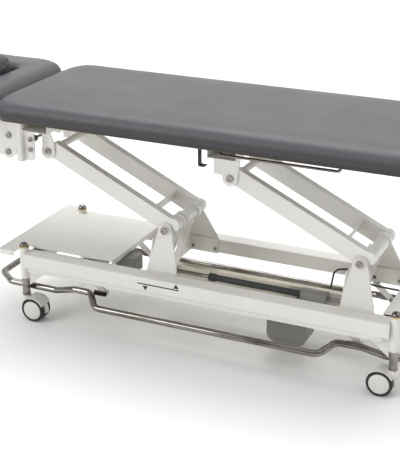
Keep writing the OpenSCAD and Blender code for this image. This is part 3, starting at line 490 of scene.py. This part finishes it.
wrapSettings = {"boardFloor": 0.8118, "foamFloor": 0.823, "belt": 0.846}
rollSettings = {"start": 0.876, "floor": 0.812, "bulge": 0.0045, "tuck": 0.0038}
clothSettings = {"pressure": 4, "stiff": 12, "frames": 20, "cap": 0.0035, "tightBelow": 0.828, "tightBand": 0.03}
mainSettings = {**clothSettings, "voxel": 0.010, "calmRounds": 24, "calmAbove": 0.830, "fill": 0.85,
                "pullAt": 0.835, "pullBand": 0.03, "pullScale": 16, "pull": 0.0009}
headSettings = {**clothSettings, "voxel": 0.007, "calmRounds": 12, "calmAbove": 0.845, "fill": 0.85}
plugSettings = {**clothSettings, "voxel": 0.005, "calmRounds": 14, "calmAbove": 0.885, "fill": 0.75,
                "stiff": 8, "cap": 0.005, "tightBelow": 0.884, "ribs": 7, "groove": 0.006, "grooveWidth": 0.0042,
                "gather": 0.0016, "gatherFrom": 0.887, "gatherRise": 0.02, "sideDrop": 0.012, "sideRise": 0.04,
                "pleat": 0.0011, "pleatScale": 420}


def puffedPad(nodeName, name, s):
    bm = copyNode(nodeName)
    wrapDown(bm, wrapSettings)
    obj = gridForm(bm, name, s["voxel"])
    calm(obj, s["calmRounds"], s["calmAbove"])
    puff(obj, s)
    rollUnder(obj, rollSettings)
    return obj


def buildMain(s):
    obj = puffedPad("main_cushion", "mainCushionCover", s)

    def pulled(c):                                            # slight pulls along the side band
        edge = max(0.0, 1 - abs(c.z - s["pullAt"]) / s["pullBand"])
        pull = noise.noise(Vector((c.x * s["pullScale"], c.y * s["pullScale"], 3.0))) * s["pull"] * edge
        return Vector((c.x, c.y + math.copysign(pull, c.y), c.z))
    shapeVerts(obj, pulled)
    return smoothed(dressed(subdivided(obj), finishes["upholstery"]))


def buildHead(s):
    return smoothed(dressed(subdivided(puffedPad("head_cushion", "headCushionCover", s)), finishes["upholstery"]))


def buildPlug(s):
    low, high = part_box("face_plug")
    top, midX, midY = high[2], (low[0] + high[0]) / 2, (low[1] + high[1]) / 2
    step = (high[1] - low[1]) / s["ribs"]
    obj = gridForm(copyNode("face_plug"), "facePlugCover", s["voxel"])
    calm(obj, s["calmRounds"], s["calmAbove"])
    puff(obj, s)
    obj = subdivided(obj)

    def gathered(c):
        if c.z < s["gatherFrom"]:
            return c
        up = min(1.0, (c.z - s["gatherFrom"]) / s["gatherRise"])
        line = 0.5 - abs(((c.y - midY) / step) % 1.0 - 0.5)          # 0 on a groove, 0.5 halfway between two
        near = math.exp(-(line * step / s["grooveWidth"]) ** 2)
        folds = noise.noise(Vector((c.x * 150, c.y * 60, c.z * 60))) * s["gather"] * (0.35 + near)
        side = min(1.0, max(0.0, (top - s["sideDrop"] - c.z) / s["sideRise"]))
        pleat = math.sin((c.x + c.y) * s["pleatScale"] + 3 * noise.noise(c * 18)) * s["pleat"] * side * up
        out = Vector((c.x - midX, c.y - midY, 0)).normalized()
        return c + Vector((0, 0, folds * up - s["groove"] * near * up * (1 - side))) + out * pleat
    shapeVerts(obj, gathered)
    return smoothed(dressed(obj, gathers))


mainCover = buildMain(mainSettings)
headCover = buildHead(headSettings)
plugCover = buildPlug(plugSettings)
finishPiece(mainCover, "upper_frame", ["main_cushion"])
finishPiece(headCover, "head_section", ["head_cushion"])
finishPiece(plugCover, "plug", ["face_plug"])
print("cushions done")


# Staples that hold the turned-under vinyl, in a row along both sides of each board
stapleSettings = {"pitch": 0.028, "size": (0.0012, 0.0012, 0.011), "inset": 0.016, "z": 0.8108}


def stapleRows(name, nodeName, body, corner, s):
    low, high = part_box(nodeName)
    x0, x1 = low[0] + s["inset"] + corner, high[0] - s["inset"] - corner
    y0, y1 = low[1] + s["inset"], high[1] - s["inset"]
    points = [(x0, y0, s["z"]), (x1, y0, s["z"]), (x1, y1, s["z"]), (x0, y1, s["z"])]
    obj = grown(name, points, [(0, 1), (2, 3)], rowTree(name + "Tree", staples), (s["pitch"], s["size"]))
    finishPiece(obj, body, [])


stapleRows("mainBoardStaples", "main_board", "upper_frame", 0.13, stapleSettings)
stapleRows("headBoardStaples", "head_board", "head_section", 0.10, stapleSettings)
print("staples done")


# The foot ring as one smooth bent tube with its four welded ears, each with a pin and a collar
ringSettings = {"diameter": 0.025, "bend": 0.04, "sides": 28,
                "head": [(-175, 268, 122), (-222, 213, 152.15), (-292, 213, 152.15), (-385, 190, 122), (-590, 186, 120),
                         (-670, 120, 119)],
                "foot": [(690, 268, 122), (735, 213, 152.15), (828, 213, 152.15), (900, 187, 124), (958, 184, 122),
                         (994, 120, 121)],
                "earX": (-0.168, 0.816), "earZ": 0.15215, "earRadius": 0.009, "earReach": 0.044,
                "ear": (0.1994, 0.2063), "pin": (0.005, 0.185, 0.200), "collar": (0.008, 0.182, 0.1876)}


def addCylinderY(bm, x, z, radius, y0, y1):
    m = Matrix.Translation((x, (y0 + y1) / 2, z)) @ Matrix.Rotation(math.pi / 2, 4, "X")
    bmesh.ops.create_cone(bm, cap_ends=True, segments=24, radius1=radius, radius2=radius, depth=y1 - y0, matrix=m)


def joined(name, objs):
    bm = bmesh.new()
    for o in objs:
        bm.from_mesh(o.data)
        bpy.data.objects.remove(o)
    mesh = bpy.data.meshes.new(name)
    bm.to_mesh(mesh)
    bm.free()
    return link(name, mesh)


def buildEars(s):
    bm = bmesh.new()
    z, r = s["earZ"], s["earRadius"]
    for x in s["earX"]:
        outline = [(x + r * math.cos(t), z + r * math.sin(t)) for t in map(math.radians, range(-90, 91, 15))]
        outline += [(x - s["earReach"], z + r), (x - s["earReach"], z - r)]
        for side in (1, -1):
            prism(bm, outline, *sorted(side * y for y in s["ear"]))
            for radius, *ys in (s["pin"], s["collar"]):
                addCylinderY(bm, x, z, radius, *sorted(side * y for y in ys))
    return fromBm("ringEars", bm)


def buildRing(s):
    flip = lambda p: (p[0], -p[1], p[2])
    path = s["head"] + [flip(p) for p in reversed(s["head"])] + [flip(p) for p in s["foot"]] + list(reversed(s["foot"]))
    tube = tubeAlong("ringTube", path, True, s, finishes["bright_steel"])
    ring = dressed(joined("footRingTube", [tube, buildEars(s)]), finishes["bright_steel"])
    finishPiece(ring, "ring", ["foot_ring"])


buildRing(ringSettings)
print("foot ring done")


# Plain line with an up and a down arrow printed on the near rail
printSettings = {"y": (-0.2522, -0.2518), "z": 0.250, "x": (-0.004, 0.160), "thick": 0.0046, "down": (0.027, 0.2350),
                 "up": (0.150, 0.2640), "half": 0.011, "rise": 0.0088}


def buildRailPrint(s):
    bm = bmesh.new()
    (a, b), z, t = s["x"], s["z"], s["thick"] / 2
    prism(bm, [(a, z - t), (b, z - t), (b, z + t), (a, z + t)], *s["y"])
    h, rise = s["half"], s["rise"]
    x, z = s["down"]
    prism(bm, [(x - h, z + rise), (x, z - rise), (x + h, z + rise)], *s["y"])
    x, z = s["up"]
    prism(bm, [(x - h, z - rise), (x + h, z - rise), (x, z + rise)], *s["y"])
    obj = dressed(fromBm("railPrint", bm), finishes["dark_plastic"])
    finishPiece(obj, "base", [])


buildRailPrint(printSettings)


# Floor and studio light
studio = {"floor": (0.93, 0.93, 0.925), "floorShade": 0.985, "reach": 45,
          "skyLean": (0, 0.6, 0.8), "skyFrom": (-0.3, 0.8), "sky": (0.22, 0.95), "suns": (
              ("softOverhead", (-0.2, 0.35, 1.0), 1.75, 50), ("softFront", (-0.75, -0.85, 0.62), 1.05, 32))}


def buildFloor(s):
    p = Paint("paleFloor")
    p.set(Base_Color=p.mix(p.cloud(2.0), s["floor"], shade(s["floor"], s["floorShade"])), Roughness=0.7)
    r = s["reach"]
    mesh = bpy.data.meshes.new("paleFloorSheet")
    mesh.from_pydata([(-r, -r, 0), (r, -r, 0), (r, r, 0), (-r, r, 0)], [], [(0, 1, 2, 3)])
    floor = dressed(link("paleFloorSheet", mesh), p.mat)


def buildSky(s):
    world = bpy.data.worlds.new("studio")
    world.use_nodes = True
    n, l = world.node_tree.nodes, world.node_tree.links          # dim in front, bright overhead and behind
    at, lean, rise = n.new("ShaderNodeTexCoord"), n.new("ShaderNodeVectorMath"), n.new("ShaderNodeMapRange")
    sky = n["Background"]
    sky.inputs[0].default_value = (1, 1, 1, 1)
    lean.operation = "DOT_PRODUCT"
    lean.inputs[1].default_value = s["skyLean"]
    for keys, values in ((("From Min", "From Max"), s["skyFrom"]), (("To Min", "To Max"), s["sky"])):
        for key, value in zip(keys, values):
            rise.inputs[key].default_value = value
    l.new(at.outputs["Generated"], lean.inputs[0])
    l.new(lean.outputs["Value"], rise.inputs["Value"])
    l.new(rise.outputs[0], sky.inputs[1])
    bpy.context.scene.world = world


def buildSuns(s):
    for name, place, power, spread in s["suns"]:
        sun = bpy.data.lights.new(name, "SUN")
        sun.energy, sun.angle = power, math.radians(spread)
        obj = bpy.data.objects.new(name, sun)
        bpy.context.scene.collection.objects.link(obj)
        obj.location = Vector(place) * 4
        obj.rotation_euler = (-Vector(place)).to_track_quat("-Z", "Y").to_euler()


buildFloor(studio)
buildSky(studio)
buildSuns(studio)
bpy.context.scene.view_settings.view_transform = "Standard"


print("scene ready")
